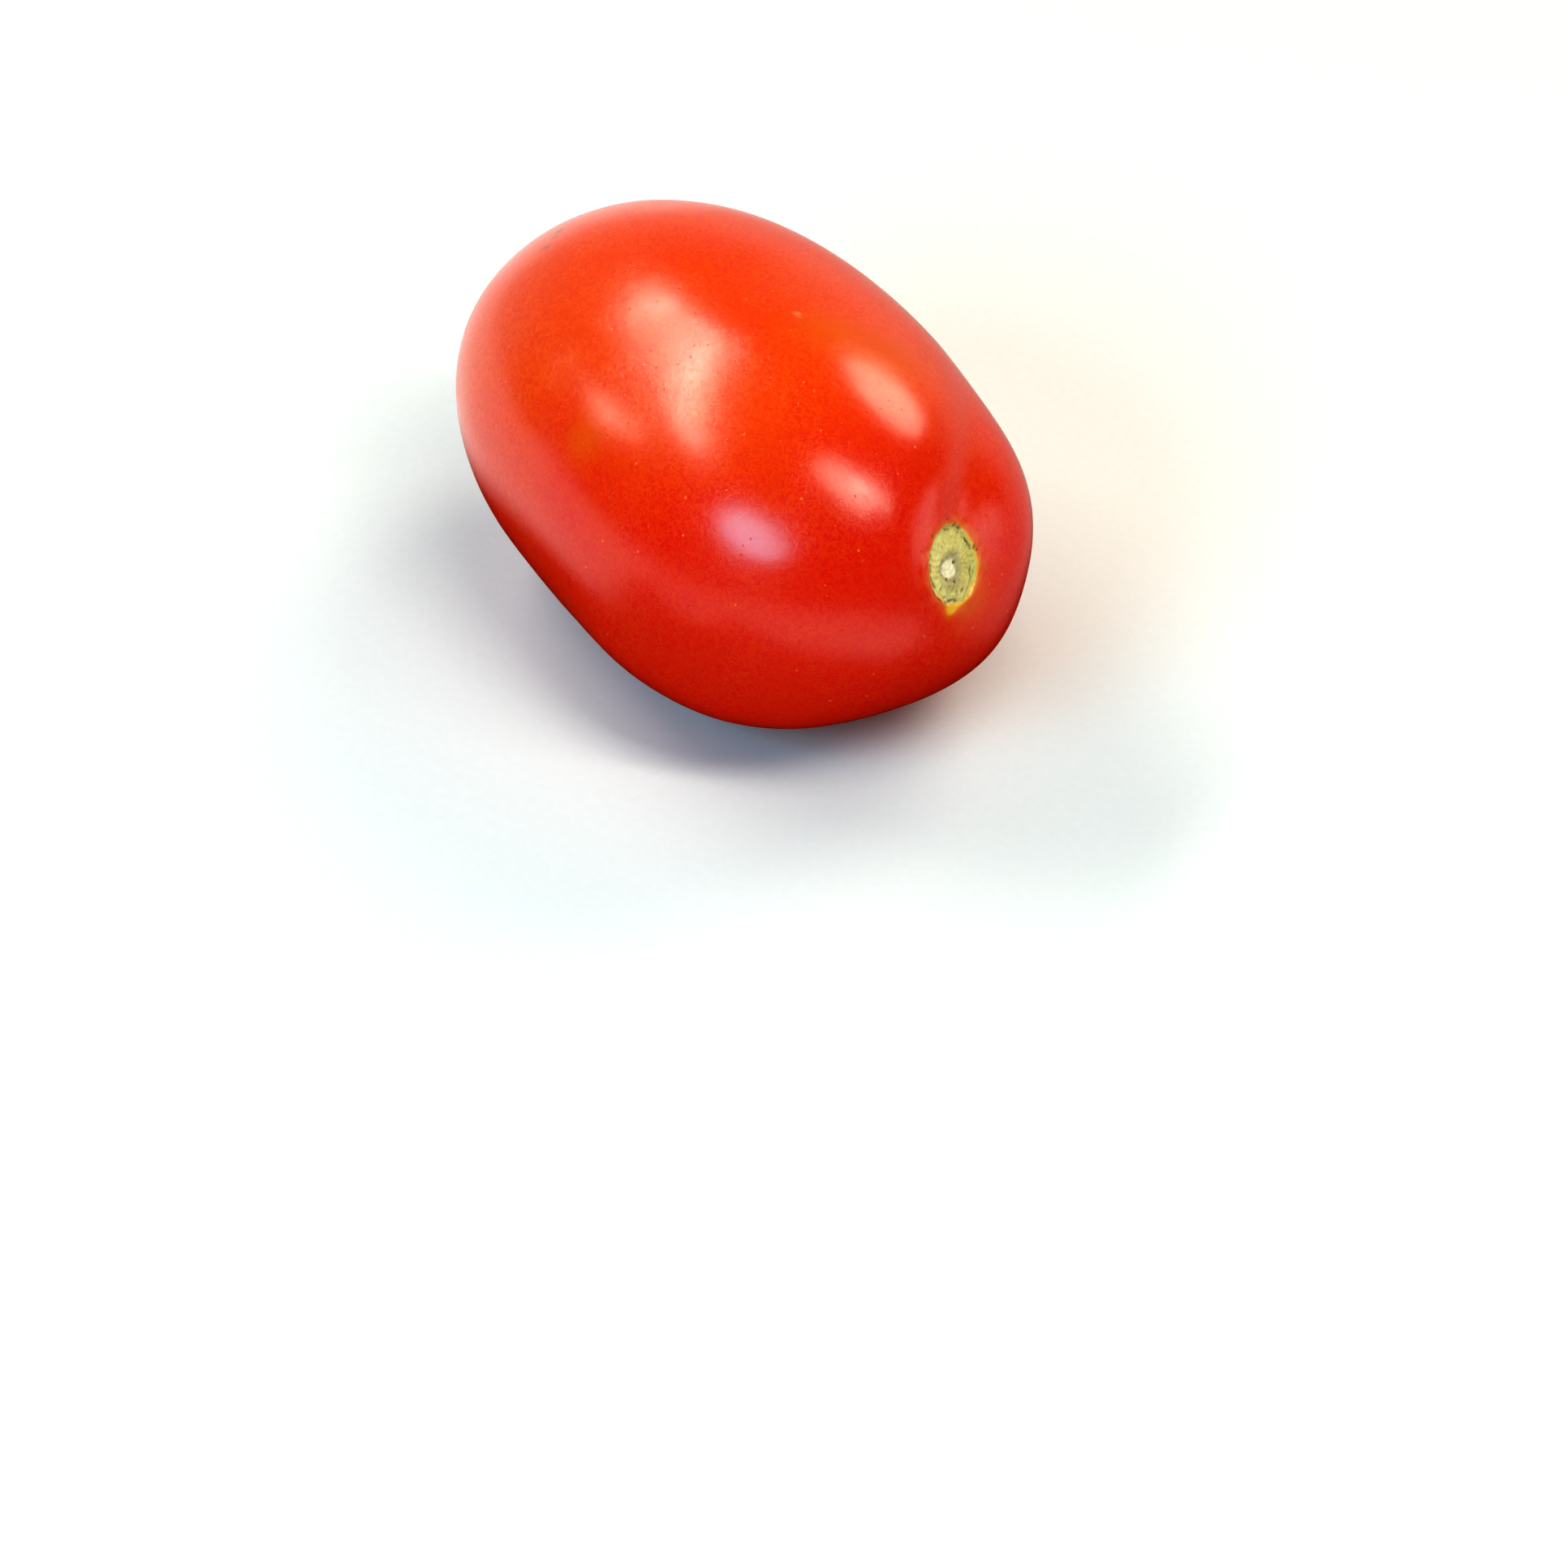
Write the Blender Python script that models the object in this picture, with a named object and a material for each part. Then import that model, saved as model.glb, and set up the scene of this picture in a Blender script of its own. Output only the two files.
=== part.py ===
"""A ripe plum tomato lying on its side, as one closed solid.

The skin, the corky stem scar in its basin, the shoulder lobes, the blossom point and the
small flat spot that the fruit rests on are all parts of the same surface, because they grew
as one piece.

Frame: metres, +Z up. The fruit's length lies along X with the stem end at +X. The origin is
in the middle of the bounding box's underside, on the surface that carries the fruit.
"""

import math

import bpy
import numpy as np

# Body, in metres. The waist is the plane across the thickest part, where the two ends meet.
RADIUS = 0.0240
STEM_LENGTH = 0.0397
POINT_LENGTH = 0.0390
BEND_REACH = 0.0360
BEND_SIDE = -0.0002
BEND_DOWN = 0.0004
WIDENING = 0.041
SLANT_SIDE = 0.052
SLANT_UP = 0.049

# Fullness of each end: 2 is an ellipse, and more is blunter.
STEM_FULLNESS = 2.65
POINT_FULLNESS = 2.41

# Swell of the cross-section: (share of the radius, how many lobes, direction of the first).
BODY_LOBES = (
    (0.074, 2, math.radians(2.5)),
    (0.007, 3, math.radians(194.0)),
)
SHOULDER_LOBES = ((0.025, 3, math.radians(-145.0)),)

# Stem basin and scar. The place is measured sideways and upwards from the fruit's long axis.
SCAR_SIDE = 0.0062
SCAR_UP = 0.0053
SCAR_RADIUS = 0.0039
SCAR_OVAL = 0.11
SCAR_OVAL_DIRECTION = math.radians(114.0)
SCAR_EGG = 0.05
SCAR_EGG_DIRECTION = math.radians(125.0)
SCAR_STEP = 0.00035
CORE_RADIUS = 0.0015
CORE_DEPTH = 0.00035
BASIN_DEPTH = 0.0015
BASIN_WIDTH = 0.0061
BASIN_TILT_SIDE = -0.33
BASIN_TILT_UP = -0.25
BASIN_TILT_WIDTH = 0.0077

# The basin fades out where the cosine of the angle from +X falls under this.
BASIN_FADE = 0.5

# A shallow crease runs up from the scar over the shoulder, and turns as it goes. The turn is in
# radians round the axis for each radian away from +X.
CREASE_DEPTH = 0.0009
CREASE_DIRECTION = math.radians(41.0)
CREASE_TURN = -0.52
CREASE_WIDTH = 0.15
CREASE_MIDDLE = 0.60
CREASE_LENGTH = 0.30

# Low swells and hollows of the shoulder: (height, angle from +X, direction round the axis, and
# the widths of both angles).
SHOULDER_SWELLS = (
    (-0.00045, 0.80, math.radians(-15.0), 0.30, math.radians(12.0)),
    (0.00030, 0.95, math.radians(3.0), 0.30, math.radians(9.0)),
    (0.00022, 0.75, math.radians(-40.0), 0.32, math.radians(13.0)),
    (-0.00030, 0.80, math.radians(-86.0), 0.35, math.radians(16.0)),
)

# Blossom end: a small raised point.
TIP_HEIGHT = 0.0011
TIP_WIDTH = 0.0023

# Resting: the lowest skin is pressed flat over this height.
FLAT_HEIGHT = 0.0005

# Grid of the surface. Its rings start round the scar, follow the scar's outline there, and
# crowd towards both poles. The first rings are given as shares of the scar's radius.
SPOKES = 64
SCAR_RINGS = (0.38, 0.70, 0.92)
BASIN_RINGS = (1.08, 1.32)
BODY_RINGS = 44
RING_CROWDING = 0.66
POLE_REACH = 0.0402
OUTLINE_FADE = 0.25

SKIN_COLOUR = (0.62, 0.022, 0.006, 1.0)
SKIN_ROUGHNESS = 0.26
SCAR_COLOUR = (0.48, 0.43, 0.17, 1.0)
SCAR_ROUGHNESS = 0.75


def ease(value):
    """Smooth step: 0 up to 0, 1 from 1 on, and 3v^2 - 2v^3 between."""
    value = np.clip(value, 0.0, 1.0)
    return value * value * (3.0 - 2.0 * value)


def lobes(direction, terms):
    """Sum of cosines of the direction round the axis, one for each (size, count, first) term."""
    return sum(size * np.cos(count * (direction - first)) for size, count, first in terms)


def ring_angles():
    """Angles of the rings from the scar's pole, between 0 and pi.

    The first few are shares of the scar's own radius. The rest follow
    s - crowding * sin(2 pi s) / (2 pi), which is steep halfway and flat at both ends.
    """
    near = SCAR_RADIUS / POLE_REACH * np.array(SCAR_RINGS + BASIN_RINGS)
    share = np.linspace(0.0, 1.0, BODY_RINGS + 1)[1:-1]
    spread = share - RING_CROWDING * np.sin(2.0 * np.pi * share) / (2.0 * np.pi)
    return np.concatenate([near, near[-1] + (np.pi - near[-1]) * spread])


def scar_outline(turn):
    """The scar's radius in each direction, as a share of SCAR_RADIUS: an oval with an egg term."""
    oval = SCAR_OVAL * np.cos(2.0 * (turn - SCAR_OVAL_DIRECTION))
    return 1.0 + oval + SCAR_EGG * np.cos(turn - SCAR_EGG_DIRECTION)


def sight_lines(ring, spoke):
    """Directions out of the fruit's middle: the angle from +X, and the direction round X.

    The pole at ring 0 is moved from +X to the scar, and the shift fades to nothing at -X. The
    rings take the scar's outline near it, and that fades too.
    """
    ring = ring * (1.0 + (scar_outline(spoke) - 1.0) * np.exp(-((ring / OUTLINE_FADE) ** 2)))
    shift = (1.0 + np.cos(ring)) / 2.0 / POLE_REACH
    side = np.sin(ring) * np.cos(spoke) + SCAR_SIDE * shift
    up = np.sin(ring) * np.sin(spoke) + SCAR_UP * shift
    return np.arctan2(np.hypot(side, up), np.cos(ring)), np.arctan2(up, side)


def angle_between(direction, other):
    """Difference of two directions round the axis, between -pi and pi."""
    return np.angle(np.exp(1j * (direction - other)))


def shoulder_relief(lean, direction):
    """Height added to the shoulder: the crease, and the low swells and hollows.

    Each is a bell in both angles. The crease has nothing at the axis.
    """
    line = CREASE_DIRECTION + CREASE_TURN * (lean - CREASE_MIDDLE)
    across = np.exp(-0.5 * (angle_between(direction, line) / CREASE_WIDTH) ** 2)
    along = np.exp(-0.5 * ((lean - CREASE_MIDDLE) / CREASE_LENGTH) ** 2)
    height = -CREASE_DEPTH * across * along * ease(lean / 0.25)
    for size, middle, heading, length, width in SHOULDER_SWELLS:
        turn = angle_between(direction, heading) / width
        height = height + size * np.exp(-0.5 * (turn ** 2 + ((lean - middle) / length) ** 2))
    return height


def stem_relief(side, up):
    """Offset along X near the stem end, from the distance to the scar's middle.

    A bell-shaped basin, a tilt of that basin, a step down at the scar's edge, and a dimple
    where the stem's core was.
    """
    side = side - SCAR_SIDE
    up = up - SCAR_UP
    away = np.hypot(side, up)
    basin = -BASIN_DEPTH * np.exp(-0.5 * (away / BASIN_WIDTH) ** 2)
    slope = BASIN_TILT_SIDE * side + BASIN_TILT_UP * up
    tilt = slope * np.exp(-0.5 * (away / BASIN_TILT_WIDTH) ** 2)
    edge = SCAR_RADIUS * scar_outline(np.arctan2(up, side))
    step = -SCAR_STEP * ease((1.10 - away / edge) / 0.20)
    core = -CORE_DEPTH * ease(1.4 - away / CORE_RADIUS)
    return basin + tilt + step + core


def skin(ring, spoke):
    """Points of the fruit's surface, for arrays of ring and spoke angles.

    The distance from the middle is a superellipse of the end's length and the radius in that
    direction, with the two ends' lengths and fullness blended across the waist. The radius
    swells in lobes, and the shoulder has its relief. Widening, slant, basin, blossom point and
    bend are added in turn.
    """
    lean, direction = sight_lines(ring, spoke)
    forward = np.cos(lean)
    outward = np.sin(lean)
    to_stem = 0.5 * (1.0 + np.tanh(forward / 0.35))
    length = POINT_LENGTH + (STEM_LENGTH - POINT_LENGTH) * to_stem
    fullness = POINT_FULLNESS + (STEM_FULLNESS - POINT_FULLNESS) * to_stem

    swell = lobes(direction, BODY_LOBES)
    swell = swell + ease(forward / 0.8) * lobes(direction, SHOULDER_LOBES)
    radius = RADIUS * (1.0 + swell)
    ends = (np.abs(forward) / length) ** fullness
    sides = (outward / radius) ** fullness
    reach = (ends + sides) ** (-1.0 / fullness) + shoulder_relief(lean, direction)

    along = reach * forward
    across = reach * outward * (1.0 + WIDENING * along / BEND_REACH)
    side = across * np.cos(direction)
    up = across * np.sin(direction)

    along = along + ease(along / STEM_LENGTH) * (SLANT_SIDE * side + SLANT_UP * up)
    along = along + ease(forward / BASIN_FADE) * stem_relief(side, up)
    point = TIP_HEIGHT * np.exp(-0.5 * (across / TIP_WIDTH) ** 2)
    along = along - np.where(forward < 0.0, point, 0.0)

    bend = (along / BEND_REACH) ** 2
    return np.stack([along, side + BEND_SIDE * bend, up - BEND_DOWN * bend], axis=-1)


def set_down(points):
    """Press the lowest skin flat, and move the origin to the middle of the box's underside."""
    points = points.copy()
    floor = points[:, 2].min() + FLAT_HEIGHT
    points[:, 2] = np.maximum(points[:, 2], floor)
    low = points.min(axis=0)
    high = points.max(axis=0)
    return points - np.array([(low[0] + high[0]) / 2.0, (low[1] + high[1]) / 2.0, low[2]])


def surface_mesh(name):
    """Closed mesh of rings and spokes, with a fan of triangles at each pole."""
    angles = ring_angles()
    spokes = np.linspace(0.0, 2.0 * np.pi, SPOKES, endpoint=False)
    ring, spoke = np.meshgrid(angles, spokes, indexing="ij")
    scar_pole = skin(np.zeros(1), np.zeros(1))
    point_pole = skin(np.full(1, np.pi), np.zeros(1))
    points = set_down(np.concatenate([scar_pole, skin(ring, spoke).reshape(-1, 3), point_pole]))

    first = 1 + np.arange(len(angles) * SPOKES).reshape(len(angles), SPOKES)
    following = np.roll(first, -1, axis=1)
    last = len(points) - 1
    faces = [(0, int(a), int(b)) for a, b in zip(first[0], following[0])]
    quads = np.stack([first[:-1], first[1:], following[1:], following[:-1]], axis=-1)
    faces += quads.reshape(-1, 4).tolist()
    faces += [(int(a), last, int(b)) for a, b in zip(first[-1], following[-1])]

    mesh = bpy.data.meshes.new(name)
    mesh.from_pydata(points.tolist(), [], faces)
    scar_faces = SPOKES * len(SCAR_RINGS)
    for index, face in enumerate(mesh.polygons):
        face.material_index = 1 if index < scar_faces else 0
    mesh.shade_smooth()
    mesh.validate()
    return mesh


def finish(name, colour, roughness):
    """Plain material of one colour and roughness."""
    material = bpy.data.materials.new(name)
    material.use_nodes = True
    shader = material.node_tree.nodes["Principled BSDF"]
    shader.inputs["Base Color"].default_value = colour
    shader.inputs["Roughness"].default_value = roughness
    shader.inputs["Metallic"].default_value = 0.0
    return material


def build():
    """Clear the scene and put the fruit in it."""
    for thing in list(bpy.data.objects):
        bpy.data.objects.remove(thing)
    fruit = bpy.data.objects.new("tomato", surface_mesh("tomato"))
    fruit.data.materials.append(finish("ripe_skin", SKIN_COLOUR, SKIN_ROUGHNESS))
    fruit.data.materials.append(finish("corky_scar", SCAR_COLOUR, SCAR_ROUGHNESS))
    bpy.context.scene.collection.objects.link(fruit)


build()
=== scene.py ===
import math

import bpy
import numpy as np
from mathutils import Euler, Matrix, Vector


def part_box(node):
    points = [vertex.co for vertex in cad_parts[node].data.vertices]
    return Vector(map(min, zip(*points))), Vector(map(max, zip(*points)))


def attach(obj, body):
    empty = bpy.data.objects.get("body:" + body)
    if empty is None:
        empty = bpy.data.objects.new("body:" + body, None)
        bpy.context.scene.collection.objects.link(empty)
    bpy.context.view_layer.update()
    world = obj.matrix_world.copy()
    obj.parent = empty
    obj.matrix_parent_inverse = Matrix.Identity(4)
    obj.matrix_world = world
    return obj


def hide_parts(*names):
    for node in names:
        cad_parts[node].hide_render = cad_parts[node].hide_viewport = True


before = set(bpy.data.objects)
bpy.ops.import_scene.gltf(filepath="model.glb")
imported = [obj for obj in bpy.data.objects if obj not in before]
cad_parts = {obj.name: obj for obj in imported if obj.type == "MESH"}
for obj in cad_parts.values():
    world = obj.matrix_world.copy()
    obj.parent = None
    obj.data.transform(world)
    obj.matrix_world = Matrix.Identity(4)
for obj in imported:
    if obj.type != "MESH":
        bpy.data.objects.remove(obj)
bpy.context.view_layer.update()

# The fruit
# One ripe plum tomato, lying on its side: red flesh in a thin glossy skin, a scar of dry cork
# where the stem came off, and a dry point where the blossom was. It grew as one piece, so it is
# one closed surface, drawn as rings and spokes round the scar. Lengths are in metres.

# Body, with the stem end at +X. The waist is the thickest part, where the two ends meet. A
# fullness of 2 is an ellipse, and more is blunter.
radius = 0.0240
stem_length = 0.0397
point_length = 0.0390
stem_fullness = 2.65
point_fullness = 2.41
waist_blend = 0.35
widening = 0.041
slant = (0.052, 0.049)
bend = (-0.0002, -0.0004)
bend_reach = 0.0360

# Swell of the cross-section: (share of the radius, how many lobes, direction of the first).
body_lobes = (
    (0.074, 2, math.radians(2.5)),
    (0.007, 3, math.radians(194.0)),
)
shoulder_lobes = ((0.025, 3, math.radians(-145.0)),)
shoulder_reach = 0.8

# Scar, sideways and upwards from the long axis: an oval and an egg term, less a flatter stretch,
# and shorter and shorter waves where the stem tore away.
scar_place = (0.0062, 0.0053)
scar_radius = 0.0039
scar_lobes = (
    (0.11, 2, math.radians(114.0)),
    (0.05, 1, math.radians(125.0)),
)
scar_flat = 0.085
scar_flat_direction = math.radians(-65.0)
scar_flat_width = 0.55
torn_edge = ((0.012, 3, 0.6), (0.009, 5, 2.2), (0.008, 8, 4.1), (0.006, 13, 1.1), (0.004, 21, 3.0))
outline_fade = 0.25

# Basin round the scar. It fades out where the cosine of the angle from +X falls under the last.
basin_depth = 0.0015
basin_width = 0.0061
basin_tilt = (-0.33, -0.25)
basin_tilt_width = 0.0077
basin_fade = 0.5

# A shallow crease runs up from the scar over the shoulder, and turns as it goes. The turn is in
# radians round the axis for each radian away from +X.
crease_depth = 0.0009
crease_direction = math.radians(41.0)
crease_turn = -0.52
crease_width = 0.15
crease_middle = 0.60
crease_length = 0.30
crease_start = 0.25

# Low swells and hollows of the shoulder: (height, angle from +X, direction round the axis, and
# the widths of both angles).
shoulder_swells = (
    (-0.00045, 0.80, math.radians(-15.0), 0.30, math.radians(12.0)),
    (0.00030, 0.95, math.radians(3.0), 0.30, math.radians(9.0)),
    (0.00022, 0.75, math.radians(-40.0), 0.32, math.radians(13.0)),
    (-0.00030, 0.80, math.radians(-86.0), 0.35, math.radians(16.0)),
)

# Blossom point, and the flat spot underneath: the lowest skin is pressed flat over its height.
tip_height = 0.0011
tip_width = 0.0023
flat_height = 0.0005

# Grid. The near rings go up to a share of the scar's radius. From there to the blossom end they
# follow s - crowding * sin(2 pi s) / (2 pi), which is close at both ends.
spokes = 336
near_rings = 90
near_reach = 1.75
body_rings = 190
crowding = 0.88
pole_reach = 0.0402


def ease(value):
    """Smooth step: 0 up to 0, 1 from 1 on, and 3v^2 - 2v^3 between."""
    value = np.clip(value, 0.0, 1.0)
    return value * value * (3.0 - 2.0 * value)


def bell(distance, width):
    """Bell curve: 1 at distance 0, falling as exp(-(distance / width)^2 / 2)."""
    return np.exp(-0.5 * (distance / width) ** 2)


def lobes(direction, terms):
    """Sum of cosines of the direction round the axis, one for each (size, count, first) term."""
    return sum(size * np.cos(count * (direction - first)) for size, count, first in terms)


def angle_between(direction, other):
    """Difference of two directions round the axis, between -pi and pi."""
    return np.angle(np.exp(1j * (direction - other)))


def scar_outline(turn):
    """The scar's radius in each direction, as a share of scar_radius.

    It is 1 plus both sums of cosines, less a bell where the edge is flatter.
    """
    flatter = scar_flat * bell(angle_between(turn, scar_flat_direction), scar_flat_width)
    return 1.0 + lobes(turn, scar_lobes) + lobes(turn, torn_edge) - flatter


def sight_lines(ring, spoke):
    """Directions out of the fruit's middle: the angle from +X, and the direction round X.

    The pole at ring 0 is moved from +X to the scar, and the shift fades to nothing at -X. The
    rings take the scar's outline near it, and that fades too.
    """
    ring = ring * (1.0 + (scar_outline(spoke) - 1.0) * np.exp(-((ring / outline_fade) ** 2)))
    shift = (1.0 + np.cos(ring)) / 2.0 / pole_reach
    side = np.sin(ring) * np.cos(spoke) + scar_place[0] * shift
    up = np.sin(ring) * np.sin(spoke) + scar_place[1] * shift
    return np.arctan2(np.hypot(side, up), np.cos(ring)), np.arctan2(up, side)


def shoulder_relief(lean, direction):
    """Height added to the shoulder: the crease, and the low swells and hollows.

    Each is a bell in both angles. The crease has nothing at the axis.
    """
    line = crease_direction + crease_turn * (lean - crease_middle)
    across = bell(angle_between(direction, line), crease_width)
    along = bell(lean - crease_middle, crease_length)
    height = -crease_depth * across * along * ease(lean / crease_start)
    for size, middle, heading, length, width in shoulder_swells:
        turn = angle_between(direction, heading)
        height = height + size * bell(turn, width) * bell(lean - middle, length)
    return height


def basin(side, up):
    """Offset along X round the scar: a bell-shaped hollow, and a tilt that fades outwards."""
    side = side - scar_place[0]
    up = up - scar_place[1]
    away = np.hypot(side, up)
    tilt = (basin_tilt[0] * side + basin_tilt[1] * up) * bell(away, basin_tilt_width)
    return tilt - basin_depth * bell(away, basin_width)


def fruit_form(ring, spoke):
    """Points of the plain fruit for arrays of ring and spoke angles, in its own frame.

    The distance from the middle is a superellipse of the end's length and the radius in that
    direction, with the two ends' lengths and fullness blended across the waist. The radius
    swells in lobes, and the shoulder has its relief. Widening, slant, basin, blossom point and
    bend are added in turn.
    """
    lean, direction = sight_lines(ring, spoke)
    forward = np.cos(lean)
    outward = np.sin(lean)
    to_stem = 0.5 * (1.0 + np.tanh(forward / waist_blend))
    length = point_length + (stem_length - point_length) * to_stem
    fullness = point_fullness + (stem_fullness - point_fullness) * to_stem

    swell = lobes(direction, body_lobes)
    swell = swell + ease(forward / shoulder_reach) * lobes(direction, shoulder_lobes)
    ends = (np.abs(forward) / length) ** fullness
    sides = (outward / (radius * (1.0 + swell))) ** fullness
    reach = (ends + sides) ** (-1.0 / fullness) + shoulder_relief(lean, direction)

    along = reach * forward
    across = reach * outward * (1.0 + widening * along / bend_reach)
    side = across * np.cos(direction)
    up = across * np.sin(direction)
    along = along + ease(along / stem_length) * (slant[0] * side + slant[1] * up)
    along = along + ease(forward / basin_fade) * basin(side, up)
    along = along - np.where(forward < 0.0, tip_height * bell(across, tip_width), 0.0)
    bow = (along / bend_reach) ** 2
    return np.stack([along, side + bend[0] * bow, up + bend[1] * bow], axis=-1)


near = np.linspace(0.0, near_reach, near_rings + 1)[1:] * scar_radius / pole_reach
share = np.linspace(0.0, 1.0, body_rings + 1)[1:-1]
spread = share - crowding * np.sin(2.0 * np.pi * share) / (2.0 * np.pi)
ring_angles = np.concatenate([[0.0], near, near[-1] + (np.pi - near[-1]) * spread, [np.pi]])
spoke_angles = np.linspace(0.0, 2.0 * np.pi, spokes, endpoint=False)
ring, spoke = np.meshgrid(ring_angles, spoke_angles, indexing="ij")
points = fruit_form(ring, spoke)

# Relief that a hand would feel, each a height over the plain form: the sunken plate of cork with
# its raised rim of skin, the core where the stem's strands tore, a slight unevenness of the skin
# over the flesh, and the puckered blossom point. Shares are of the scar's own radius.
wave_height = 0.000022
wave_start = 1.2
wave_fade = 3.0

# The step down to the cork, and the uneven lip of skin round it.
scar_step = 0.00028
step_share = 1.06
step_width = 0.12
lip_height = 0.00005
lip_unevenness = 0.5
lip_share = 1.16
lip_width = 0.14

# Grain of the cork, and low rays that wander outwards from its core.
cork_bump = 0.000045
ray_height = 0.00003
rays_round = 31.0
ray_wander = 2.0
ray_start = 0.7

# The core is a hollow with a low rim. Pits in the cork are placed sideways and upwards.
core_radius = 0.0012
core_reach = 1.5
core_depth = 0.00030
core_place = (-0.00045, -0.00010)
core_lobes = ((0.10, 3, -0.7 / 3.0),)
core_rim_height = 0.00008
core_rim_width = 0.0003
pits = ((-0.00138, 0.00071), (0.00050, 0.00013), (-0.00108, -0.00090), (-0.00012, -0.00160))
pit_depth = 0.00016
pit_radius = 0.00015
dead_depth = 0.00005

# Blossom point: low folds round it, and its dry rough tip.
fold_height = 0.00006
folds_round = 5.0
first_fold = 0.8
fold_place = 0.0022
fold_width = 0.0012
dry_radius = 0.00075
dry_fade = 0.0005
dry_bump = 0.00005

# Dark specks and strokes of dead cork at the scar's rim: (side, up, length, direction, width),
# in millimetres and degrees.
specks = np.array([
    (0.43, 4.46, 0.10, 60, 0.16), (-0.30, 4.00, 0.10, 20, 0.15), (-2.62, 4.32, 0.14, 80, 0.14),
    (1.40, 3.30, 0.26, 150, 0.15), (1.95, 2.85, 0.30, 135, 0.13), (2.64, 1.35, 0.25, 110, 0.10),
    (3.40, 0.35, 0.22, 80, 0.10), (3.63, -0.05, 0.12, 60, 0.13), (-3.52, 2.15, 0.38, 65, 0.09),
    (-3.55, 0.30, 0.34, 75, 0.09), (2.42, -1.80, 0.60, 70, 0.10), (0.68, -2.80, 0.30, 30, 0.14),
    (-3.70, -1.00, 0.55, 110, 0.08), (-3.00, -2.20, 0.55, 130, 0.08),
    (-1.45, -3.00, 0.85, 165, 0.10), (-2.33, -1.32, 0.16, 60, 0.15), (-2.30, -2.75, 0.2, 120, 0.14),
])


def ripples(points, length, count, seed):
    """Random swell about 1 high at every point: cosine waves of about that length, summed.

    Each wave has its own random direction, phase, and length within 40% of the given one. The
    sum is divided by the root of half their number, so its usual size is 1.
    """
    draw = np.random.default_rng(seed)
    heading = draw.normal(size=(count, 3))
    heading /= np.linalg.norm(heading, axis=1, keepdims=True)
    pace = 2.0 * np.pi / (length * draw.uniform(0.7, 1.4, count))
    phase = draw.uniform(0.0, 2.0 * np.pi, count)
    waves = np.cos(points @ (heading * pace[:, None]).T + phase)
    return waves.sum(axis=-1) / math.sqrt(count / 2.0)


def strokes(side, up, marks):
    """Darkness of short strokes, 0 to 1: for each, a bell across it and a longer one along it."""
    place = marks[:, :2] / 1000.0
    turn = np.radians(marks[:, 3])
    dx = side[..., None] - place[:, 0]
    dy = up[..., None] - place[:, 1]
    along = (dx * np.cos(turn) + dy * np.sin(turn)) / (marks[:, 2] / 1000.0)
    across = (dy * np.cos(turn) - dx * np.sin(turn)) / (marks[:, 4] / 1000.0)
    return np.exp(-0.5 * (along ** 2 + across ** 2)).max(axis=-1)


def outward_normals(points):
    """Unit normals of a closed grid of rings and spokes: the cross product of its two slopes.

    At the two poles, where a ring is one point, the normal is the mean of the next ring's.
    """
    along = np.gradient(points, axis=0)
    round_it = np.roll(points, -1, axis=1) - np.roll(points, 1, axis=1)
    normal = np.cross(along, round_it)
    normal[0] = normal[1].mean(axis=0)
    normal[-1] = normal[-2].mean(axis=0)
    return normal / np.linalg.norm(normal, axis=-1, keepdims=True)


def at_stem(values, elsewhere=0.0):
    """The values on the stem's half of the fruit, and one number on the blossom's half."""
    return np.where(stem_half, values, elsewhere)


# Places round the scar, seen along X: sideways, upwards, the direction, and the share of the
# scar's radius, which is well outside it on the blossom's half.
stem_half = points[..., 0] > 0.0
pole = points[0, 0]
side = points[..., 1] - pole[1]
up = points[..., 2] - pole[2]
turn = np.arctan2(up, side)
scar_share = at_stem(ring / (scar_radius / pole_reach), 9.0)
inside = ease((step_share - scar_share) / step_width)
core_side = side - core_place[0]
core_up = up - core_place[1]
core_away = np.hypot(core_side, core_up) * (1.0 + lobes(turn, core_lobes))
dead_cork = at_stem(strokes(side, up, specks))
pit_marks = at_stem(sum(bell(np.hypot(side - x, up - y), pit_radius) for x, y in pits))

lip = 1.0 + lip_unevenness * ripples(points, length=0.0016, count=12, seed=5)
lip = lip_height * bell(scar_share - lip_share, lip_width) * lip
bumps = cork_bump * ripples(points, length=0.0007, count=40, seed=11)
bumps = bumps + cork_bump * ripples(points, length=0.0018, count=24, seed=12)
wander = ray_wander * ripples(points, length=0.004, count=8, seed=13)
rays = ray_height * np.cos(rays_round * turn + wander) * ease(scar_share / ray_start)
core = -core_depth * ease(core_reach - core_away / core_radius)
core = core + core_rim_height * bell(core_away - core_reach * core_radius, core_rim_width)
cork = (bumps + rays + core - scar_step) * inside
cork = cork - pit_depth * pit_marks - dead_depth * dead_cork
waves = wave_height * ripples(points, length=0.0135, count=24, seed=3)
waves = waves * ease((scar_share - wave_start) / wave_fade)

tip = points[-1, 0]
tip_away = np.linalg.norm(points[..., 1:] - tip[1:], axis=-1)
tip_turn = np.arctan2(points[..., 2] - tip[2], points[..., 1] - tip[1])
folds = fold_height * np.cos(folds_round * tip_turn + first_fold)
folds = folds * bell(tip_away - fold_place, fold_width)
dry_tip = np.where(stem_half, 0.0, ease((dry_radius - tip_away) / dry_fade))
pucker = dry_tip * dry_bump * ripples(points, length=0.0004, count=20, seed=9)
pucker = pucker + np.where(stem_half, 0.0, folds)

relief = at_stem(lip + cork) + waves + pucker
relief[0] = relief[0].mean()
relief[-1] = relief[-1].mean()
points = points + outward_normals(points) * relief[..., None]

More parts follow.
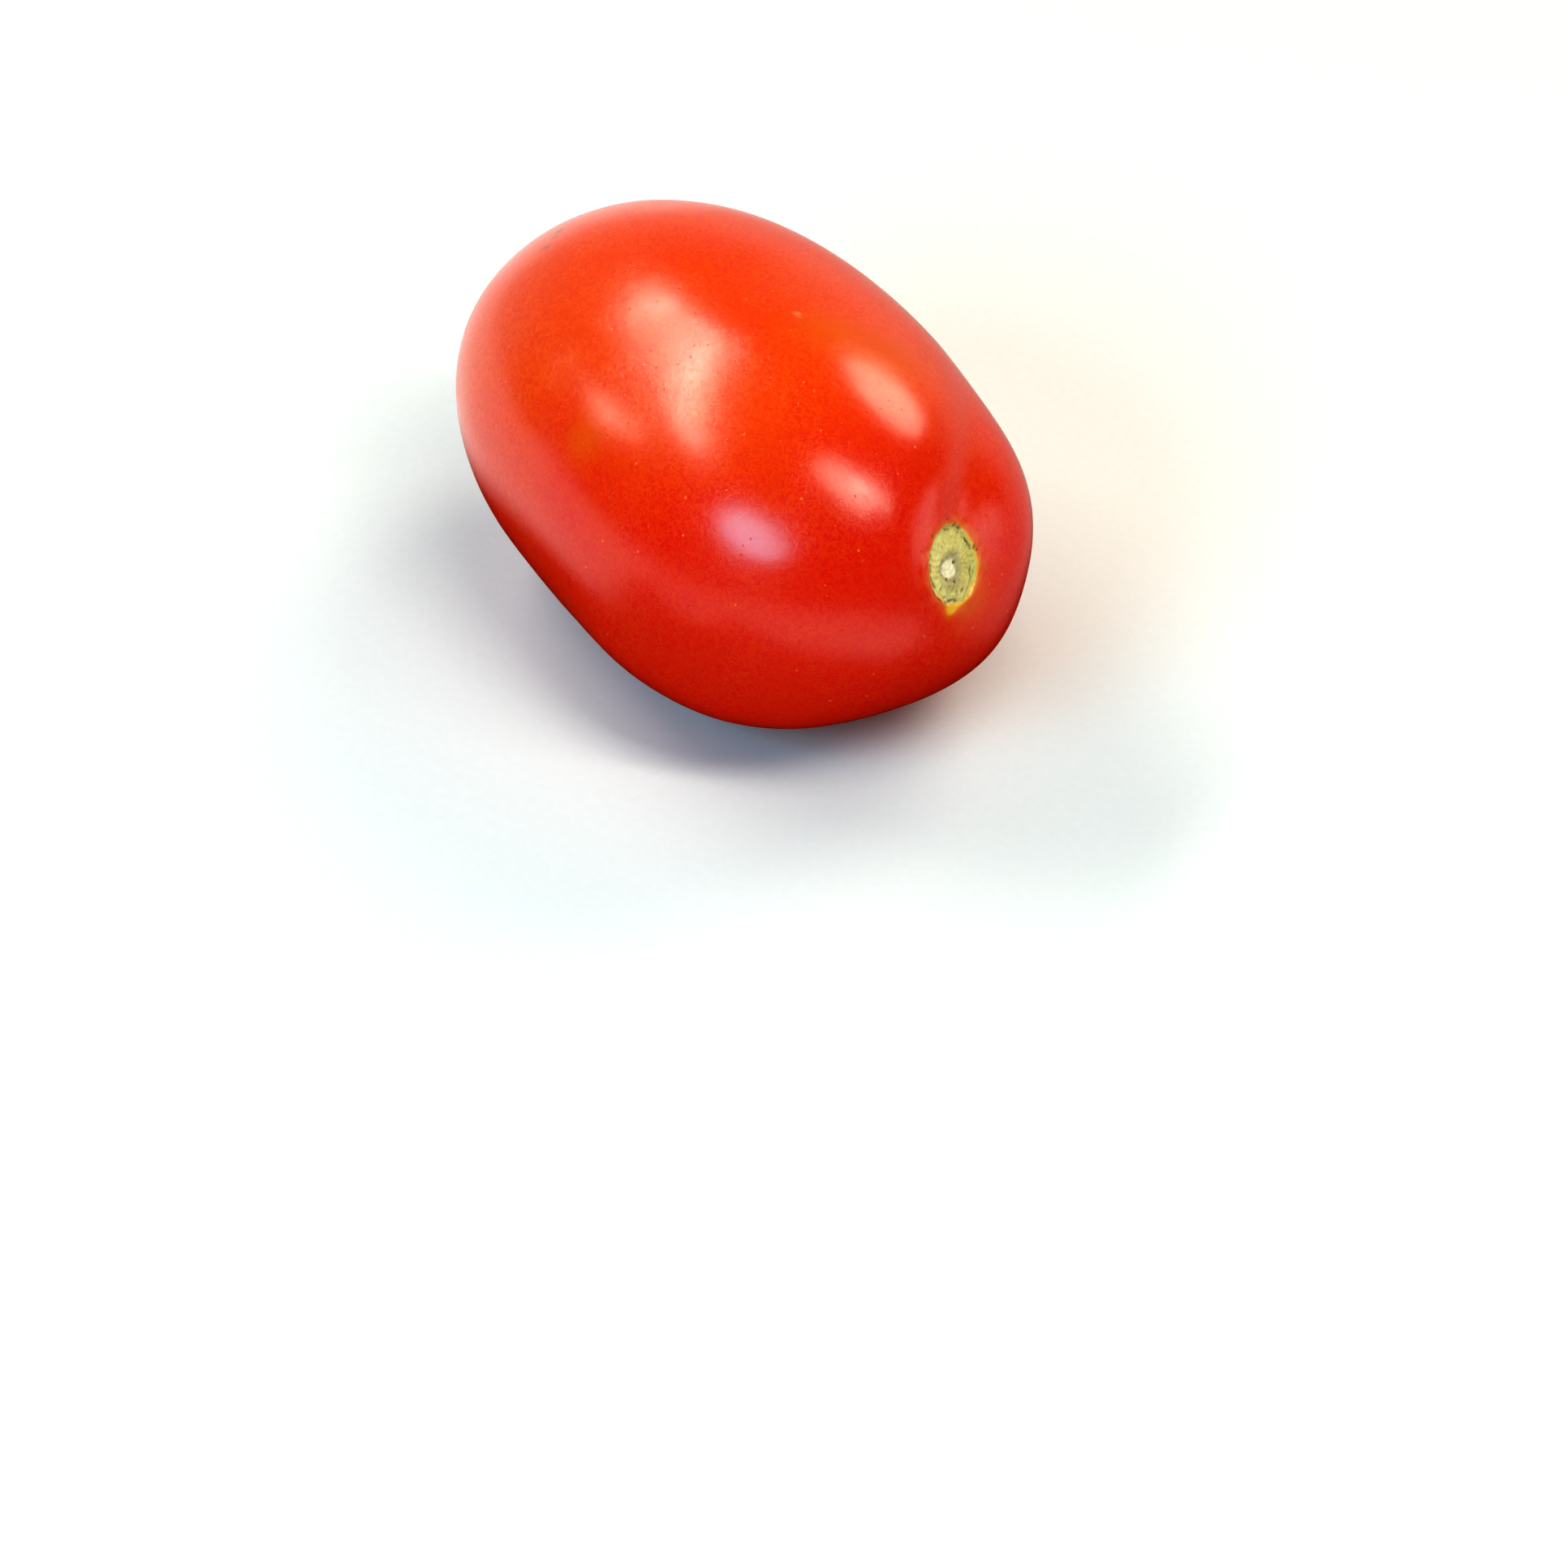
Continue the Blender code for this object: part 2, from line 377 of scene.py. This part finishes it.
# Set down as the solid is: the lowest skin pressed flat, the box's middle over the origin.
low_corner, high_corner = (np.array(corner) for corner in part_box("tomato"))
points[..., 2] = np.maximum(points[..., 2], points[..., 2].min() + flat_height)
middle = (points.min(axis=(0, 1)) + points.max(axis=(0, 1))) / 2.0
solid_middle = (low_corner + high_corner) / 2.0
points[..., :2] += solid_middle[:2] - middle[:2]
points[..., 2] += low_corner[2] - points[..., 2].min()

# Colour that came with ripening and with small wounds. Blushes and healed nicks are given as
# (x, y, z, radius), in millimetres, and the scuff is a small ring on the upper side.
orange_blushes = ((19.2, 9.1, 41.8, 3.6), (6.3, -21.6, 33.5, 2.0), (14.0, 4.0, 43.6, 3.0))
healed_nicks = (
    (-27.5, -6.3, 37.7, 0.30), (-27.2, -6.8, 37.7, 0.35), (-26.4, -7.7, 37.8, 0.25),
    (-24.8, -9.6, 37.8, 0.30),
)
scuff_place = np.array([0.01048, 0.00264, 0.04438])
scuff_radius = 0.00036
scuff_width = 0.00010

# The skin is yellow round the cork: a thin halo, wider at the right and below, a bright patch
# under it, and orange spread to its lower right. Places and widths are sideways and upwards.
halo_thinnest = 0.00068
halo_wider = 0.00022
halo_unevenness = 0.00010
halo_least = 0.00012
halo_widest_at = -0.35
yellow_patch = ((-0.00165, -0.00385), (0.00066, 0.000574))
orange_below = ((0.0016, -0.0044), (0.002125, 0.0017))
orange_right = ((0.0034, -0.0010), (0.0009, 0.00126))

# The upper side is orange red and the lower side deeper red: partly ripening, partly painted light
# from above and painted shade below.
lit_side_direction = np.array([-0.52, 0.29, 0.80])
lit_side_reach = 0.031
lit_side_fade = 0.030
uneven_ripening = 0.10

# The cork is yellower towards its left side, and browner in its lower half.
yellowing_length = 0.006
browning_length = 0.003


def blotches(points, marks):
    """Sum of soft round marks, each a bell of the distance from its middle."""
    places = [(np.array(mark[:3]) / 1000.0, mark[3] / 1000.0) for mark in marks]
    return sum(bell(np.linalg.norm(points - middle, axis=-1), size) for middle, size in places)


def soft_oval(place, widths):
    """Bell of the distance from a place beside the scar, with a width for each direction."""
    return bell(np.hypot((side - place[0]) / widths[0], (up - place[1]) / widths[1]), 1.0)


blush = blotches(points, orange_blushes)
nicks = np.clip(blotches(points, healed_nicks), 0.0, 1.0)
scuff_unevenness = 0.6 + 0.5 * ripples(points, length=0.0009, count=10, seed=21)
scuff_away = np.linalg.norm(points - scuff_place, axis=-1)
scuff = np.clip(bell(scuff_away - scuff_radius, scuff_width) * scuff_unevenness, 0.0, 1.0)

halo_width = halo_thinnest + halo_wider * ease(0.5 + 0.7 * np.cos(turn - halo_widest_at))
halo_width = halo_width + halo_unevenness * ripples(points, length=0.002, count=10, seed=31)
past_rim = np.clip((scar_share - 1.0) * scar_radius, 0.0, 1.0)
halo = np.exp(-past_rim / np.clip(halo_width, halo_least, 1.0))
yellow = at_stem(np.clip(0.92 * halo + 0.80 * soft_oval(*yellow_patch), 0.0, 1.0))
orange = 0.55 * soft_oval(*orange_below) + 0.40 * soft_oval(*orange_right)
orange = at_stem(np.clip(orange, 0.0, 1.0))

# Painted light and shade with ripening: near 0, orange red, on the upper side, and near 1, deep
# red, on the lower side, with ripening's unevenness on top.
ripeness_and_shade = ease((lit_side_reach - points @ lit_side_direction) / lit_side_fade)
ripeness_and_shade = ripeness_and_shade + uneven_ripening * ripples(points, length=0.022, count=16, seed=41)

# The mesh: each pole is one vertex, with a fan of triangles to the ring beside it.
inner = points[1:-1]
vertices = np.concatenate([points[:1, 0], inner.reshape(-1, 3), points[-1:, 0]])
index = 1 + np.arange(inner.shape[0] * spokes).reshape(-1, spokes)
after = np.roll(index, -1, axis=1)
last = len(vertices) - 1
quads = np.stack([index[:-1], index[1:], after[1:], after[:-1]], axis=-1).reshape(-1, 4)
first_fan = np.stack([np.zeros(spokes, int), index[0], after[0]], axis=-1)
last_fan = np.stack([index[-1], np.full(spokes, last), after[-1]], axis=-1)

mesh = bpy.data.meshes.new("tomato_fruit")
mesh.from_pydata(vertices, [], first_fan.tolist() + quads.tolist() + last_fan.tolist())
mesh.shade_smooth()
fruit = bpy.data.objects.new("tomato_fruit", mesh)
bpy.context.scene.collection.objects.link(fruit)


def paint(name, values):
    """Stores one number for each vertex of the fruit: the grid with each pole once."""
    layer = mesh.attributes.new(name, "FLOAT", "POINT")
    flat = np.concatenate([values[:1, 0], values[1:-1].ravel(), values[-1:, 0]])
    layer.data.foreach_set("value", flat.astype(np.float32))


paint("scar_share", scar_share)
paint("core_away", at_stem(core_away * 1000.0, 9.0))
paint("dead_cork", dead_cork)
paint("pit_marks", pit_marks)
paint("yellow", yellow)
paint("orange", orange)
paint("blush", blush)
paint("scuff", scuff)
paint("nicks", nicks)
paint("ripeness_and_shade", np.clip(ripeness_and_shade, 0.0, 1.0))
paint("dry_tip", dry_tip)
paint("scar_left", ease(0.5 - side / yellowing_length))
paint("scar_low", ease(-up / browning_length))

# The faces inside the scar's outline take the cork, and all others the skin.
cork_rings = np.searchsorted(ring_angles[1:], scar_radius / pole_reach)
slots = np.zeros(len(mesh.polygons), np.int32)
slots[:spokes * cork_rings] = 1
mesh.polygons.foreach_set("material_index", slots)
mesh.validate()


# Finishes. Ripe skin is a thin clear waxy film over red flesh cells, so it is glossy, slightly
# see-through, and mottled at the size of the cells. The scar is dry cork, matt and yellow green,
# with a pale core and dead brown bits.
def node(tree, kind, inputs=None, **settings):
    """New shader node: settings by keyword, and inputs as plain values or other nodes' sockets."""
    made = tree.nodes.new(kind)
    for name, value in settings.items():
        setattr(made, name, value)
    for name, value in (inputs or {}).items():
        if isinstance(value, bpy.types.NodeSocket):
            tree.links.new(value, made.inputs[name])
        else:
            made.inputs[name].default_value = value
    return made


def maths(tree, operation, first, second=0.0, third=0.0):
    """Result of one operation on two or three numbers."""
    inputs = {0: first, 1: second, 2: third}
    return node(tree, "ShaderNodeMath", inputs, operation=operation).outputs[0]


def between(tree, value, low, high, low_result=0.0, high_result=1.0):
    """Smooth change from one result to another as the value goes from low to high."""
    inputs = {"Value": value, "From Min": low, "From Max": high}
    inputs.update({"To Min": low_result, "To Max": high_result})
    made = node(tree, "ShaderNodeMapRange", inputs, interpolation_type="SMOOTHSTEP")
    return made.outputs["Result"]


def mixed(tree, amount, under, over, most=1.0):
    """Colour that goes from one to the other by an amount of 0 to 1, or of 0 to less than 1."""
    if most < 1.0:
        amount = maths(tree, "MULTIPLY", amount, most)
    made = node(tree, "ShaderNodeMix", {0: amount, 6: under, 7: over}, data_type="RGBA")
    return made.outputs[2]


def attribute(tree, name):
    """Number stored for each vertex under a name."""
    return node(tree, "ShaderNodeAttribute", attribute_name=name).outputs["Fac"]


def bumped(tree, height, distance):
    """Normal of the surface with a height added, of which 1 is that distance in metres."""
    inputs = {"Height": height, "Strength": 1.0, "Distance": distance}
    return node(tree, "ShaderNodeBump", inputs).outputs["Normal"]


def with_dead_bits(tree, colour):
    """Colour with the brown bits of dead cork over it."""
    amount = between(tree, attribute(tree, "dead_cork"), 0.1, 1.0, 0.0, 0.72)
    return mixed(tree, amount, colour, dead_brown)


def start_group(name, numbers, results):
    """New shader group with named number inputs and results, and its two end nodes."""
    group = bpy.data.node_groups.new(name, "ShaderNodeTree")
    for title, value in numbers.items():
        socket = group.interface.new_socket(
            title, in_out="INPUT", socket_type="NodeSocketFloat")
        socket.default_value = value
    for title in results:
        group.interface.new_socket(title, in_out="OUTPUT", socket_type="NodeSocketFloat")
    return group, node(group, "NodeGroupInput"), node(group, "NodeGroupOutput")


def use_group(tree, group, numbers):
    """Places a group in a material with its own numbers, and gives its outputs."""
    return node(tree, "ShaderNodeGroup", numbers, node_tree=group).outputs


# Cells: a fine mottle of short curling lines, and a soft cloudiness, each about 0 to 1.
cells, ends, results = start_group("cells", {"Fine": 1000.0, "Broad": 150.0}, ["Mottle", "Cloud"])
place = node(cells, "ShaderNodeTexCoord").outputs["Object"]
fine = node(cells, "ShaderNodeTexNoise", {
    "Vector": place, "Scale": ends.outputs["Fine"],
    "Detail": 3.0, "Roughness": 0.65, "Distortion": 0.7,
})
fold = maths(cells, "ABSOLUTE", maths(cells, "SUBTRACT", fine.outputs[0], 0.5))
broad = node(cells, "ShaderNodeTexNoise", {
    "Vector": place, "Scale": ends.outputs["Broad"], "Detail": 3.0, "Roughness": 0.55,
})
patchy = between(cells, broad.outputs[0], 0.35, 0.60, 0.55, 1.0)
mottle = maths(cells, "MULTIPLY", between(cells, fold, 0.0, 0.08, 1.0, 0.0), patchy)
cells.links.new(mottle, results.inputs["Mottle"])
cells.links.new(between(cells, broad.outputs[0], 0.3, 0.7), results.inputs["Cloud"])

# Spots: round dots scattered at random, one in some of the cubes of a grid of that spacing.
spots, ends, results = start_group(
    "spots", {"Per metre": 400.0, "Size": 0.10, "Share": 0.5}, ["Spots"])
place = node(spots, "ShaderNodeTexCoord").outputs["Object"]
cubes = node(spots, "ShaderNodeTexVoronoi", {
    "Vector": place, "Scale": ends.outputs["Per metre"], "Randomness": 1.0,
})
near_dot = maths(spots, "DIVIDE", cubes.outputs["Distance"], ends.outputs["Size"])
chance = node(spots, "ShaderNodeSeparateColor", {"Color": cubes.outputs["Color"]}).outputs[0]
kept = maths(spots, "LESS_THAN", chance, ends.outputs["Share"])
dot = maths(spots, "MULTIPLY", between(spots, near_dot, 0.45, 1.0, 1.0, 0.0), kept)
spots.links.new(dot, results.inputs["Spots"])

# Skin
# Orange red and deep red are the skin's ripe colours, and also carry painted light on the upper
# side and painted shade on the lower.
lit_orange_red = (0.64, 0.045, 0.0006, 1.0)
shaded_deep_red = (0.61, 0.008, 0.0006, 1.0)
bright_cells = (0.78, 0.105, 0.002, 1.0)
pale_dot = (0.80, 0.22, 0.07, 1.0)
# Painted shade for the pits of the pores.
pore_shade = (0.16, 0.010, 0.003, 1.0)
edge_cream = (0.72, 0.58, 0.28, 1.0)
halo_yellow = (0.68, 0.38, 0.018, 1.0)
halo_orange = (0.60, 0.115, 0.002, 1.0)
dead_brown = (0.085, 0.048, 0.016, 1.0)
tip_brown = (0.16, 0.09, 0.045, 1.0)
scuff_pale = (0.66, 0.30, 0.13, 1.0)
nick_brown = (0.17, 0.030, 0.004, 1.0)
cloud_ripening = 0.22
skin_roughness = 0.19
roughness_spread = 0.04
tip_roughness = 0.5
cell_relief = 0.000007

skin = bpy.data.materials.new("ripe_skin")
skin.use_nodes = True
tree = skin.node_tree
shader = tree.nodes["Principled BSDF"]
texture = use_group(tree, cells, {"Fine": 1500.0, "Broad": 160.0})
dots = use_group(tree, spots, {"Per metre": 420.0, "Size": 0.080, "Share": 0.75})["Spots"]
pores = use_group(tree, spots, {"Per metre": 900.0, "Size": 0.13, "Share": 0.55})["Spots"]

# Ripening together with painted light and shade: orange red above, deep red below.
red_depth_and_shade = maths(tree, "MULTIPLY_ADD", texture["Cloud"], cloud_ripening, attribute(tree, "ripeness_and_shade"))
red_depth_and_shade = maths(tree, "SUBTRACT", red_depth_and_shade, cloud_ripening / 2.0)
colour = mixed(tree, red_depth_and_shade, lit_orange_red, shaded_deep_red)
# The cells show less where the skin is deeper red.
shown = maths(tree, "MULTIPLY_ADD", red_depth_and_shade, -0.28, 0.54)
colour = mixed(tree, maths(tree, "MULTIPLY", texture["Mottle"], shown), colour, bright_cells)
colour = mixed(tree, attribute(tree, "blush"), colour, halo_orange, most=0.45)
colour = mixed(tree, dots, colour, pale_dot, most=0.55)
# Painted shade: the pores' pits are darkened in colour as well as sunk by the bump.
colour = mixed(tree, pores, colour, pore_shade, most=0.18)
colour = mixed(tree, attribute(tree, "orange"), colour, halo_orange)
yellow_amount = attribute(tree, "yellow")
colour = mixed(tree, between(tree, yellow_amount, 0.02, 0.65, 0.0, 0.9), colour, halo_orange)
colour = mixed(tree, between(tree, yellow_amount, 0.50, 1.0), colour, halo_yellow)
edge = between(tree, attribute(tree, "scar_share"), 1.07, 1.0)
torn = between(tree, texture["Cloud"], 0.25, 0.75, 0.15, 0.75)
colour = mixed(tree, maths(tree, "MULTIPLY", edge, torn), colour, edge_cream)
colour = mixed(tree, attribute(tree, "scuff"), colour, scuff_pale)
colour = mixed(tree, attribute(tree, "nicks"), colour, nick_brown, most=0.85)
colour = with_dead_bits(tree, colour)
colour = mixed(tree, attribute(tree, "dry_tip"), colour, tip_brown)
tree.links.new(colour, shader.inputs["Base Color"])

dullness = maths(tree, "MULTIPLY_ADD", texture["Cloud"], roughness_spread, skin_roughness)
dullness = maths(tree, "MULTIPLY_ADD", attribute(tree, "dry_tip"), tip_roughness, dullness)
tree.links.new(dullness, shader.inputs["Roughness"])
shader.inputs["IOR"].default_value = 1.5
shader.inputs["Subsurface Weight"].default_value = 0.20
shader.inputs["Subsurface Radius"].default_value = (1.0, 0.22, 0.10)
shader.inputs["Subsurface Scale"].default_value = 0.0030

height = maths(tree, "MULTIPLY", texture["Mottle"], 0.5)
height = maths(tree, "MULTIPLY_ADD", dots, 1.2, height)
height = maths(tree, "MULTIPLY_ADD", pores, -5.0, height)
tree.links.new(bumped(tree, height, cell_relief), shader.inputs["Normal"])

# Cork of the scar
cork_green = (0.58, 0.52, 0.18, 1.0)
cork_yellow = (0.71, 0.65, 0.27, 1.0)
cork_tan = (0.41, 0.34, 0.15, 1.0)
core_white = (0.82, 0.77, 0.56, 1.0)
core_ring = (0.33, 0.27, 0.15, 1.0)
rim_brown = (0.17, 0.11, 0.035, 1.0)
rim_green = (0.50, 0.40, 0.045, 1.0)
cork_roughness = 0.60
cork_roughness_spread = 0.15
cork_grain = 0.00003

scar = bpy.data.materials.new("corky_scar")
scar.use_nodes = True
tree = scar.node_tree
shader = tree.nodes["Principled BSDF"]
texture = use_group(tree, cells, {"Fine": 1500.0, "Broad": 700.0})
flecks = use_group(tree, spots, {"Per metre": 1500.0, "Size": 0.25, "Share": 0.30})["Spots"]

colour = mixed(tree, attribute(tree, "scar_left"), cork_green, cork_yellow)
tan = maths(tree, "MULTIPLY_ADD", attribute(tree, "scar_low"), 0.75, 0.25)
colour = mixed(tree, maths(tree, "MULTIPLY", tan, texture["Cloud"]), colour, cork_tan)
from_core = attribute(tree, "core_away")
colour = mixed(tree, between(tree, from_core, 2.3, 1.2, 0.0, 0.75), colour, core_ring)
colour = mixed(tree, between(tree, from_core, 1.15, 0.75), colour, core_white)
colour = mixed(tree, texture["Mottle"], colour, cork_tan, most=0.25)
colour = mixed(tree, flecks, colour, dead_brown, most=0.35)
outwards = attribute(tree, "scar_share")
rim = between(tree, outwards, 0.84, 0.905)
rim = maths(tree, "MULTIPLY", rim, between(tree, outwards, 0.965, 0.925))
broken = between(tree, texture["Cloud"], 0.25, 0.65, 0.15, 0.75)
colour = mixed(tree, maths(tree, "MULTIPLY", rim, broken), colour, rim_brown)
colour = mixed(tree, between(tree, outwards, 0.93, 1.0, 0.0, 0.6), colour, rim_green)
pitted = between(tree, attribute(tree, "pit_marks"), 0.2, 1.0, 0.0, 0.9)
colour = mixed(tree, pitted, colour, dead_brown)
colour = with_dead_bits(tree, colour)
tree.links.new(colour, shader.inputs["Base Color"])

dullness = maths(
    tree, "MULTIPLY_ADD", texture["Cloud"], cork_roughness_spread, cork_roughness)
tree.links.new(dullness, shader.inputs["Roughness"])
shader.inputs["Subsurface Weight"].default_value = 0.15
shader.inputs["Subsurface Radius"].default_value = (1.0, 0.6, 0.2)
shader.inputs["Subsurface Scale"].default_value = 0.0010
height = maths(tree, "MULTIPLY_ADD", texture["Mottle"], 0.6, texture["Cloud"])
tree.links.new(bumped(tree, height, cork_grain), shader.inputs["Normal"])

mesh.materials.append(skin)
mesh.materials.append(scar)
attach(fruit, "root")
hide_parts("tomato")

# The floor
# A plain pale matt board, wide enough to fill every view. What the skin mirrors of it is set
# apart from its own colour: a soft pale light behind the fruit, and narrower ones in front.
floor_half = 3.0
board_grey = (0.645, 0.66, 0.70, 1.0)
board_pale = (0.685, 0.70, 0.74, 1.0)
mirrored_white = (1.0, 0.97, 0.93, 1.0)
mirrored_strength = 2.0
far_white = (1.0, 0.98, 0.95, 1.0)
far_strength = 0.9
camera_azimuth = math.radians(59.68)

floor_mesh = bpy.data.meshes.new("floor")
corners = [(x * floor_half, y * floor_half, 0.0) for x, y in ((-1, -1), (1, -1), (1, 1), (-1, 1))]
floor_mesh.from_pydata(corners, [], [(0, 1, 2, 3)])
floor = bpy.data.objects.new("floor", floor_mesh)
bpy.context.scene.collection.objects.link(floor)

board = bpy.data.materials.new("pale_board")
board.use_nodes = True
tree = board.node_tree
shader = tree.nodes["Principled BSDF"]
spot = node(tree, "ShaderNodeTexCoord").outputs["Object"]
grain = node(tree, "ShaderNodeTexNoise", {"Vector": spot, "Scale": 900.0, "Detail": 2.0})
tone = mixed(tree, grain.outputs[0], board_grey, board_pale)
tree.links.new(tone, shader.inputs["Base Color"])
shader.inputs["Roughness"].default_value = 0.9
shader.inputs["Specular IOR Level"].default_value = 0.1


def along_way(tree, place, way):
    """How far a place lies in one direction."""
    made = node(tree, "ShaderNodeVectorMath", {0: place, 1: way}, operation="DOT_PRODUCT")
    return made.outputs["Value"]


# What the skin mirrors of the board, in metres from the fruit's middle. It is nothing close to
# the fruit. Behind, it is brightest on the camera's far left and less to the right.
towards_back = (-math.sin(camera_azimuth), math.cos(camera_azimuth), 0.0)
towards_left = (-math.cos(camera_azimuth), -math.sin(camera_azimuth), 0.0)
away = node(tree, "ShaderNodeVectorMath", {0: spot}, operation="LENGTH").outputs["Value"]
back = along_way(tree, spot, towards_back)
left = along_way(tree, spot, towards_left)
to_side = maths(tree, "ABSOLUTE", left)
behind = between(tree, maths(tree, "MULTIPLY_ADD", to_side, 0.3, back), -0.020, 0.003)
far_light = maths(tree, "MULTIPLY", behind, between(tree, away, 0.038, 0.060))
far_light = maths(tree, "MULTIPLY", far_light, between(tree, left, -0.06, 0.07, 0.36, 0.94))

# In front it starts close by at the camera's right and further off at its left, and fades out
# where the camera is.
right_band = between(tree, maths(tree, "ADD", back, left), -0.068, -0.090)
right_band = maths(tree, "MULTIPLY", right_band, between(tree, back, -0.042, -0.054))
right_band = maths(tree, "MULTIPLY", right_band, between(tree, left, -0.12, -0.05, 0.1, 0.95))
left_band = between(tree, left, 0.035, 0.075)
left_band = maths(tree, "MULTIPLY", left_band, between(tree, back, -0.060, -0.082))
front_light = maths(tree, "MAXIMUM", right_band, maths(tree, "MULTIPLY", left_band, 0.8))
camera_shade = maths(tree, "MULTIPLY_ADD", left, 2.0, back)
camera_shade = between(tree, camera_shade, -0.30, -0.12, 0.15, 1.0)
front_light = maths(tree, "MULTIPLY", front_light, camera_shade)
both_lights = maths(tree, "MULTIPLY", maths(tree, "ADD", far_light, front_light), 0.5)
glow = mixed(tree, both_lights, (0.0, 0.0, 0.0, 1.0), mirrored_white)
mirrored = node(tree, "ShaderNodeEmission", {"Color": glow, "Strength": mirrored_strength})

# Far off, where the panels light it little, the board is seen as pale as the room behind it.
far_off = between(tree, away, 0.25, 1.1)
pale = node(tree, "ShaderNodeEmission", {"Color": far_white, "Strength": far_strength})
ray = node(tree, "ShaderNodeLightPath").outputs
seen_far = maths(tree, "MULTIPLY", ray["Is Camera Ray"], far_off)
seen = node(tree, "ShaderNodeMixShader", {0: seen_far, 1: shader.outputs[0], 2: pale.outputs[0]})
choice = node(tree, "ShaderNodeMixShader", {
    0: ray["Is Glossy Ray"], 1: seen.outputs[0], 2: mirrored.outputs[0],
})
tree.links.new(choice.outputs[0], tree.nodes["Material Output"].inputs["Surface"])
floor_mesh.materials.append(board)

# Light
# Soft oval panels stand round the fruit, most of them placed so that the skin mirrors them where
# the photograph shows highlights. A wide dim one that isn't mirrored lights the near side, and
# a pale room gives the sheen at the fruit's edges.
warm = (1.0, 0.95, 0.80)
warmer = (1.0, 0.95, 0.75)
straw = (1.0, 0.94, 0.75)
violet = (0.22, 0.75, 1.0)
nearly_white = (1.0, 0.97, 0.95)
rosy = (1.0, 0.76, 0.62)

# Each has its centre, the way that its long side runs, length, width, colour and strength.
panels = {
    "tall_panel": ((-0.379, -0.160, 0.474), (-0.46, 0.88, -0.08), 0.58, 0.094, warm, 12.0),
    "small_panel": ((-0.402, -0.356, 0.318), (0.64, -0.76, -0.05), 0.14, 0.075, warmer, 7.4),
    "far_panel": ((-0.128, 0.458, 0.420), (0.86, 0.46, -0.25), 0.39, 0.268, straw, 5.1),
    "near_panel": ((0.309, 0.018, 0.590), (0.76, 0.48, -0.43), 0.51, 0.191, warm, 6.5),
    "near_tail": ((0.392, 0.194, 0.499), (0.42, 0.66, -0.62), 0.39, 0.082, warm, 9.5),
    "violet_panel": ((0.189, -0.469, 0.344), (0.93, 0.15, -0.33), 0.42, 0.190, violet, 7.8),
    "low_panel": ((0.176, 0.268, 0.045), (-0.84, 0.55, 0.0), 0.14, 0.10, nearly_white, 1.3),
    "front_fill": ((0.300, -0.680, 0.200), (0.91, 0.40, 0.0), 0.80, 0.50, rosy, 1.75),
}
aim = Vector((0.0, 0.0, 0.022))
for name, (centre, long_way, length, width, tint, strength) in panels.items():
    lamp = bpy.data.lights.new(name, "AREA")
    lamp.shape = "ELLIPSE"
    lamp.size = length
    lamp.size_y = width
    lamp.color = tint
    lamp.energy = strength * math.pi * (math.pi / 4.0 * length * width)
    panel = bpy.data.objects.new(name, lamp)
    outward = (Vector(centre) - aim).normalized()
    across = outward.cross(Vector(long_way)).normalized()
    faced = Matrix((across.cross(outward), across, outward)).transposed()
    panel.matrix_world = Matrix.Translation(centre) @ faced.to_4x4()
    panel.visible_camera = False
    panel.visible_glossy = name != "front_fill"
    bpy.context.scene.collection.objects.link(panel)

# The room is bright low down behind the fruit and dim elsewhere, and pale where it is seen.
room = bpy.data.worlds.new("pale_room")
room.use_nodes = True
bpy.context.scene.world = room
tree = room.node_tree
backdrop = tree.nodes["Background"]
heading = node(tree, "ShaderNodeTexCoord").outputs["Generated"]
rise = node(tree, "ShaderNodeSeparateXYZ", {0: heading}).outputs["Z"]
behind = between(tree, along_way(tree, heading, towards_back), 0.35, 0.80)
sheen = maths(tree, "MULTIPLY", behind, between(tree, rise, 0.65, 0.0))
sheen = maths(tree, "MULTIPLY_ADD", sheen, 0.42, 0.05)
seen = node(tree, "ShaderNodeLightPath").outputs["Is Camera Ray"]
strength = maths(tree, "MAXIMUM", sheen, maths(tree, "MULTIPLY", seen, far_strength))
tree.links.new(strength, backdrop.inputs["Strength"])
backdrop.inputs["Color"].default_value = (1.0, 0.97, 0.91, 1.0)

# Camera
# It sees the fruit from the same side, at the same angle and in the same place of a square
# picture as the photograph does. The place is in metres and the lens in millimetres.
camera_place = (0.41141, -0.23330, 0.32943)
camera_elevation = math.radians(36.81)
camera_roll = math.radians(0.51)
film_side = 36.0
lens_length = 116.42

lens = bpy.data.cameras.new("camera")
lens.sensor_width = film_side
lens.sensor_height = film_side
lens.lens = lens_length
camera = bpy.data.objects.new("camera", lens)
turned = Euler((math.radians(90.0) - camera_elevation, 0.0, camera_azimuth)).to_matrix()
turned = turned @ Matrix.Rotation(camera_roll, 3, "Z")
camera.matrix_world = Matrix.Translation(camera_place) @ turned.to_4x4()
bpy.context.scene.collection.objects.link(camera)
bpy.context.scene.camera = camera
bpy.context.scene.view_settings.view_transform = "Standard"
bpy.context.scene.view_settings.look = "High Contrast"
